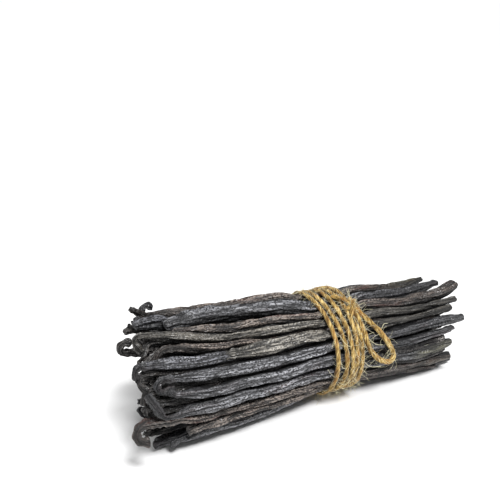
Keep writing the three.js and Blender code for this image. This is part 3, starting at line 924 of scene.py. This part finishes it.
def twineTree():
    f = twineFibres
    tree = newTree("juteTwine", twineShape, "Jute")
    w = Wiring(tree)
    given = w.add("NodeGroupInput").outputs
    line = w.get("GeometryNodeMeshToCurve", Mesh=given["Geometry"])
    line = w.get("GeometryNodeResampleCurve", {"mode": "LENGTH"}, Curve=line, Length=given["Row Step"])
    parameter = w.add("GeometryNodeSplineParameter").outputs
    line = w.store(line, "run", parameter["Length"])
    line = w.store(line, "share", parameter["Factor"])
    normal = w.get("GeometryNodeInputNormal")
    tangent = w.get("GeometryNodeInputTangent")
    line = w.store(line, "side", normal, "FLOAT_VECTOR")
    line = w.store(line, "lift", w.vector("CROSS_PRODUCT", tangent, normal), "FLOAT_VECTOR")
    # two plies wind round the line, half a turn apart
    plies = w.add("GeometryNodeDuplicateElements", {"domain": "SPLINE"}, Geometry=line, Amount=2)
    run, girth, share = w.field("run"), w.field("girth"), w.field("share")
    wound = w.math("DIVIDE", w.times(run, fullTurn), given["Pitch"])
    phase = w.plus(wound, w.times(plies.outputs[1], math.pi))
    away = w.vector("ADD", w.vector("SCALE", w.vectorField("side"), w.math("COSINE", phase)),
                    w.vector("SCALE", w.vectorField("lift"), w.math("SINE", phase)))
    line = w.store(plies.outputs[0], "ply", w.times(plies.outputs[1], 1.0))
    line = w.get("GeometryNodeSetPosition", Geometry=line,
                 Offset=w.vector("SCALE", away, w.times(given["Ply Offset"], girth)))
    factor = w.add("GeometryNodeSplineParameter").outputs["Factor"]
    circle = w.store(w.ring(given["Sides"], 1.0), "turn", w.times(factor, fullTurn))
    ends = w.math("MINIMUM", w.remap(share, 0.0, f["endReach"], f["endShare"], 1.0),
                  w.remap(share, 1 - f["endReach"], 1.0, 1.0, f["endShare"]))
    thick = w.times(ends, given["Ply Radius"], girth)
    rope = w.get("GeometryNodeCurveToMesh", Curve=line, ProfileCurve=circle, Scale=thick, FillCaps=True)
    # fibres wind round each ply, the other way from the plies' own twist
    twist = w.minus(w.field("turn"), w.times(run, f["wind"]))
    beside = w.plus(w.times(w.math("COSINE", twist), f["radius"]), w.times(w.field("ply"), f["apart"]))
    fibrePlace = w.join(beside, w.times(w.math("SINE", twist), f["radius"]), run)
    rope = w.store(rope, "fibrePlace", fibrePlace, "FLOAT_VECTOR")
    ridges = w.noise(w.vector("MULTIPLY", w.vectorField("fibrePlace"), f["scale"]), f["seed"], 2.0, 0.6)
    bulge = w.times(w.minus(ridges, 0.5), w.times(given["Fibre Depth"], girth))
    outward = w.get("GeometryNodeInputNormal")
    rope = w.get("GeometryNodeSetPosition", Geometry=rope, Offset=w.vector("SCALE", outward, bulge))
    rope = w.store(rope, "hairShare", w.math("LESS_THAN", girth, 0.5))
    # short hairs stand off the plies
    spots = w.add("GeometryNodeDistributePointsOnFaces", Mesh=rope, Density=given["Hair Density"],
                  Seed=given["Seed"])
    arcMiddle = w.join(0.0, 0.0, w.times(given["Hair Length"], f["hairMiddle"]))
    arcEnd = w.join(w.times(given["Hair Length"], f["hairAside"]), 0.0, given["Hair Length"])
    arc = w.get("GeometryNodeCurveQuadraticBezier", Resolution=f["hairPoints"], Start=(0, 0, 0),
                Middle=arcMiddle, End=arcEnd)
    hairRound = w.ring(f["hairSides"], given["Hair Radius"])
    hair = w.get("GeometryNodeCurveToMesh", Curve=arc, ProfileCurve=hairRound, FillCaps=True)
    hair = w.store(hair, "hairShare", 1.0)
    tilt = w.add("FunctionNodeRandomValue", {"data_type": "FLOAT_VECTOR"}, Seed=given["Seed"])
    tilt.inputs[0].default_value, tilt.inputs[1].default_value = f["hairTilt"]
    turned = w.add("FunctionNodeRotateRotation", {"rotation_space": "LOCAL"},
                   Rotation=spots.outputs["Rotation"])
    w.put(turned.inputs[1], tilt.outputs[0])
    size = w.add("FunctionNodeRandomValue", {"data_type": "FLOAT"}, Seed=given["Seed"])
    size.inputs[2].default_value, size.inputs[3].default_value = f["hairSize"]
    hairs = w.get("GeometryNodeInstanceOnPoints", Points=spots.outputs["Points"], Instance=hair,
                  Rotation=turned.outputs[0], Scale=size.outputs[1])
    whole = w.add("GeometryNodeJoinGeometry")
    w.tree.links.new(hairs, whole.inputs[0])
    w.tree.links.new(rope, whole.inputs[0])
    whole = w.get("GeometryNodeRealizeInstances", Geometry=whole.outputs[0])
    place = w.within(w.get("GeometryNodeInputPosition"), twineRoom)
    whole = w.get("GeometryNodeSetPosition", Geometry=whole, Position=place)
    w.finish(whole, given["Jute"])
    return tree


juteColours = {
    "dark": (0.085, 0.04, 0.008), "light": (0.32, 0.205, 0.05), "pale": (0.66, 0.5, 0.21),
    "warm": (0.33, 0.15, 0.035), "hair": (0.66, 0.62, 0.42),
}
juteLook = {
    "streak": (0.07, 2900, 3, 0.7), "patch": (1, 240, 2, 0.5), "warm": (0.25, 900, 1, 0.5),
    "toneParts": (0.75, 0.3), "toneRange": (0.42, 0.66), "lightAt": 0.55, "warmRange": (0.52, 0.66, 0.0, 0.4),
    "bumpStrength": 0.8, "bump": 0.0004,
}


def juteMaterial():
    look = juteLook
    dark, light, pale, warmColour, hairColour = ((*colour, 1) for colour in juteColours.values())
    material, w = newMaterial("juteFibre")
    place = w.attribute("fibrePlace", "Vector")
    streak, patch, warm = (w.texture(place, *look[name]) for name in ("streak", "patch", "warm"))
    tone = w.plus(w.times(streak, look["toneParts"][0]), w.times(patch, look["toneParts"][1]))
    ramp = w.add("ShaderNodeValToRGB", n0=w.remap(tone, *look["toneRange"]))
    ramp.color_ramp.elements[0].color = dark
    ramp.color_ramp.elements[1].color = pale
    ramp.color_ramp.elements.new(look["lightAt"]).color = light
    strand = w.mix(w.remap(warm, *look["warmRange"]), ramp.outputs[0], warmColour)
    colour = w.mix(w.attribute("hairShare"), strand, hairColour)
    bump = w.get("ShaderNodeBump", Strength=look["bumpStrength"], Distance=look["bump"], Height=streak)
    w.surface({"Base Color": colour, "Normal": bump, "Roughness": 0.8, "Specular IOR Level": 0.25,
               "Sheen Weight": 0.15})
    return material


def addTwine():
    groups = ([windingRoute()], [smoothRoute(bowRoute)], [smoothRoute(route) for route in knotRoutes],
              [smoothRoute(route) for route in looseRoutes])
    lines = [[{"middle": point, "girth": girth} for point in route]
             for girth, routes in zip(twineSize["girths"], groups) for route in routes]
    mesh = guideMesh("twineTie", lines, ("girth",), ())
    piece = grow("twineTie", mesh, twineTree(), {**twineShape, "Jute": juteMaterial()})
    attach(piece, "root")
    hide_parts("twine")
    winding, bow = groups[0][0], groups[1][0]
    length = sum((b - a).length for route in (winding, bow) for a, b in zip(route, route[1:]))
    print("twine tied, about", round(length), "mm of it")


addTwine()

# more pods fill the middle of the flare, seen from the stem end
middleRings = ((7, 10.5, 25), (5, 16, 5), (4, 21.5, 40), (1, 29, 0))
middleEnd = 76
middlePods = []
for count, depth, turn in middleRings:
    for i in range(count):
        angle = turn + 360 * i / count + draw(-8, 8)
        stem = drawnHook((10, 160))
        start = setBack(angle) + draw(-5, 3)
        middlePods.append(pod((angle,) * len(stations), start, middleEnd, draw(0.9, 1.1), stem,
                              (depth,) * len(stations)))
# they take the darker inner finish: painted shade
addPods("podsMiddle", middlePods, "inner")

# floor and lights
floorSize = {"half": 30.0, "colour": (0.85, 0.85, 0.85)}
lightSize = {
    "sunFrom": (0.05, -0.75, 1), "sunSpread": 16, "sunStrength": 3.7,
    "boxPlace": (-0.15, -0.3, 0.7), "boxTarget": (0, 0, 0.03), "boxSize": (0.4, 0.3), "boxPower": 3,
    "worldStrength": 0.29,
}


def addFloor():
    half = floorSize["half"]
    mesh = bpy.data.meshes.new("floor")
    corners = [(-half, -half, 0), (half, -half, 0), (half, half, 0), (-half, half, 0)]
    mesh.from_pydata(corners, [], [(0, 1, 2, 3)])
    floor = bpy.data.objects.new("floor", mesh)
    bpy.context.collection.objects.link(floor)
    material, w = newMaterial("floorPaper")
    w.surface({"Base Color": (*floorSize["colour"], 1), "Roughness": 0.9, "Specular IOR Level": 0.1})
    mesh.materials.append(material)


def addLight(name, kind, energy):
    data = bpy.data.lights.new(name, kind)
    data.energy = energy
    light = bpy.data.objects.new(name, data)
    bpy.context.collection.objects.link(light)
    return light


def turnLight(light, way):
    light.rotation_euler = Vector(way).to_track_quat("-Z", "Y").to_euler()


def addLights():
    z = lightSize
    sun = addLight("overheadLight", "SUN", z["sunStrength"])
    sun.data.angle = math.radians(z["sunSpread"])
    turnLight(sun, -Vector(z["sunFrom"]))
    box = addLight("keySoftbox", "AREA", z["boxPower"])
    box.data.shape = "RECTANGLE"
    box.data.size, box.data.size_y = z["boxSize"]
    box.location = z["boxPlace"]
    turnLight(box, Vector(z["boxTarget"]) - Vector(z["boxPlace"]))
    world = bpy.data.worlds.new("studio")
    world.use_nodes = True
    background = world.node_tree.nodes["Background"]
    background.inputs["Color"].default_value = (1, 1, 1, 1)
    background.inputs["Strength"].default_value = z["worldStrength"]
    bpy.context.scene.world = world


addFloor()
addLights()
bpy.context.scene.view_settings.view_transform = "Standard"
print("floor and lights placed")
